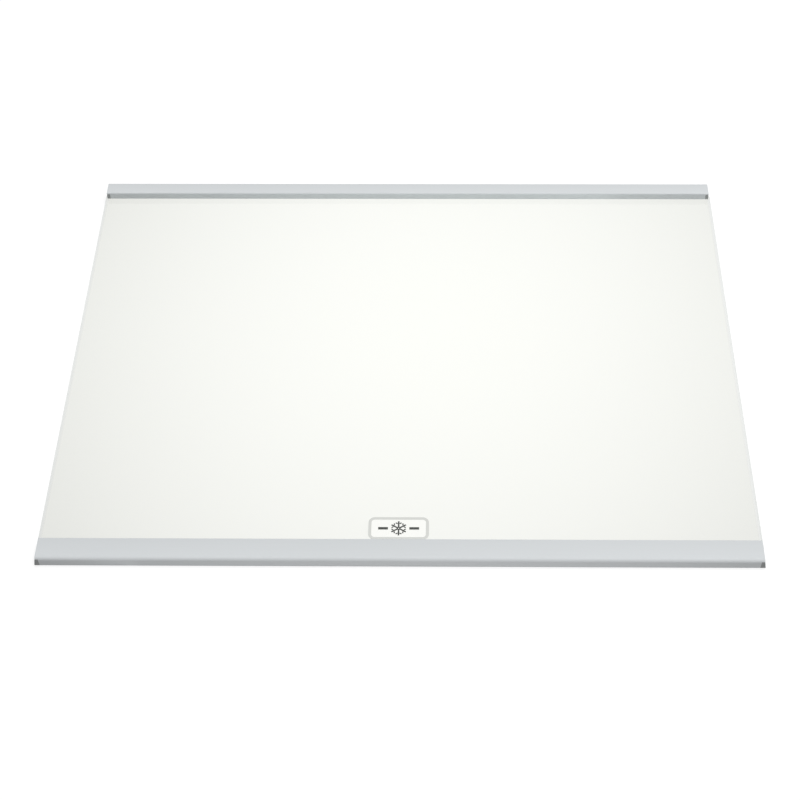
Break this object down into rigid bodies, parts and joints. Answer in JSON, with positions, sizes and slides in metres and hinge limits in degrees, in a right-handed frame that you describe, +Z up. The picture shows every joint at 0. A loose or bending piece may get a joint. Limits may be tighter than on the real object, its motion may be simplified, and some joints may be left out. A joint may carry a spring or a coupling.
{
  "type": "refrigerator shelf",
  "caption": "Flat glass refrigerator shelf with a hollow plastic trim along its front edge and a trim with a raised back stop along its rear edge.",
  "frame": {"origin": "under the middle of the shelf, on the surface that the two trims rest on", "axes": "+X along the width, towards the right seen from the front; +Y from the front trim to the rear trim; +Z up"},
  "size_m": [0.5008, 0.361, 0.0135],
  "materials": {
    "glass": "clear, toughened, ground edges",
    "trim_plastic": "satin silver grey, extruded",
    "cap_plastic": "satin dark grey, moulded"
  },
  "bodies": {
    "root": {"glass_plate": "glass", "front_trim": "trim_plastic", "rear_trim": "trim_plastic", "front_cap_left": "cap_plastic", "front_cap_right": "cap_plastic", "rear_cap_left": "cap_plastic", "rear_cap_right": "cap_plastic"}
  },
  "joints": []
}
